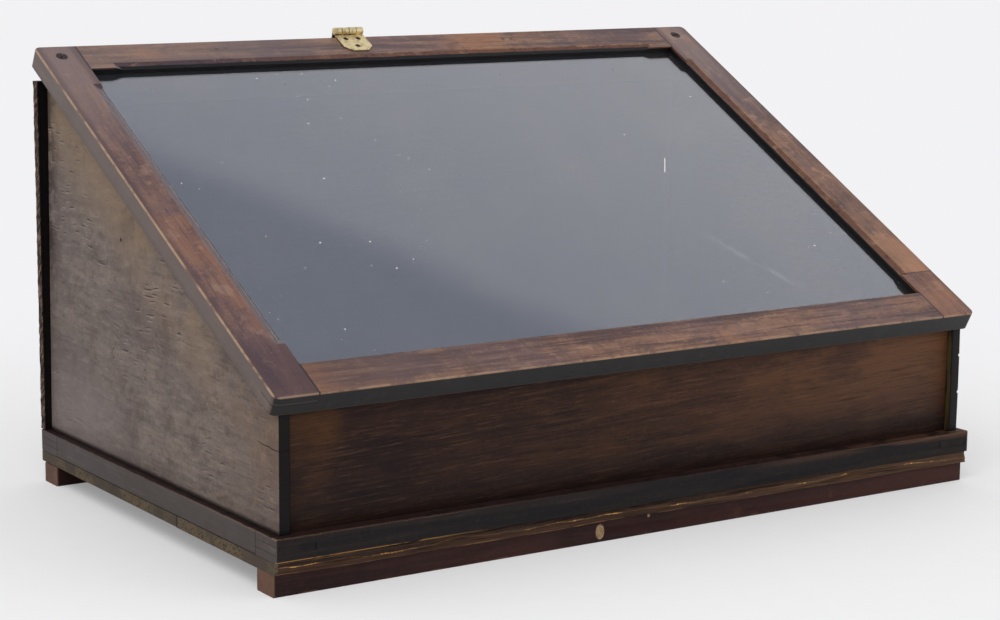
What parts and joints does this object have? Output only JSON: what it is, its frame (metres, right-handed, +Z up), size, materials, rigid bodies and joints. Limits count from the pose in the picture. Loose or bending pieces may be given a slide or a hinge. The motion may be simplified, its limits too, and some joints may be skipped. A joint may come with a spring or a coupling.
{
  "type": "slant-front display case",
  "caption": "Table-top wooden display case with a sloping glazed lid, hinged at its top rear edge, on two foot battens",
  "frame": {"origin": "on the floor, at the middle of the whole case's width and depth", "axes": "+X along the front to the viewer's right, +Y from front to back, +Z up"},
  "size_m": [0.6, 0.377, 0.3344],
  "materials": {
    "side_wood": "grey-brown, worn, open grain",
    "front_wood": "dark brown with amber streaks",
    "back_wood": "dark, rough sawn",
    "strip_wood": "near black, dull",
    "board_wood": "brown, torn front edge",
    "batten_wood": "red-brown, dull",
    "plug_wood": "pale bare wood",
    "old_plug_wood": "stained bare wood",
    "lid_wood": "reddish brown, worn arrises",
    "repair_wood": "reddish brown, slightly redder",
    "bead_wood": "dark stained",
    "glass": "old window glass, dusty",
    "hinge_brass": "aged, pale gold with dark patina",
    "hinge_screw_steel": "dark, slotted",
    "screw_steel": "dark, slotted",
    "nail_iron": "dark iron"
  },
  "bodies": {
    "case": {"left_side_panel": "side_wood", "right_side_panel": "side_wood", "front_panel": "front_wood", "back_panel": "back_wood", "hinge_rail": "back_wood", "base_strip_front": "strip_wood", "base_strip_back": "strip_wood", "base_strip_left": "strip_wood", "base_strip_right": "strip_wood", "bottom_board_front": "board_wood", "bottom_board_back": "board_wood", "foot_batten_front": "batten_wood", "foot_batten_back": "batten_wood", "foot_batten_plug": "plug_wood", "foot_batten_nails": "nail_iron", "back_panel_nails": "nail_iron", "hinge_case_leaf": "hinge_brass", "hinge_pin": "hinge_brass", "hinge_case_screws": "hinge_screw_steel"},
    "lid": {"lid_left_stile": "lid_wood", "lid_right_stile": "lid_wood", "lid_right_stile_repair": "repair_wood", "lid_top_rail": "lid_wood", "lid_bottom_rail": "lid_wood", "glass_pane": "glass", "glazing_bead_top": "bead_wood", "glazing_bead_bottom": "bead_wood", "glazing_bead_left": "bead_wood", "glazing_bead_right": "bead_wood", "glazing_bead_pins": "nail_iron", "lid_corner_screws": "screw_steel", "lost_hinge_plugs": "old_plug_wood", "hinge_lid_leaf": "hinge_brass", "hinge_lid_screws": "hinge_screw_steel"}
  },
  "joints": [
    {"name": "lid_hinge", "type": "hinge", "parent": "case", "child": "lid", "pos_m": [-0.033, 0.18234, 0.33148], "axis": [-1, 0, 0], "range_deg": [0, 120]}
  ]
}
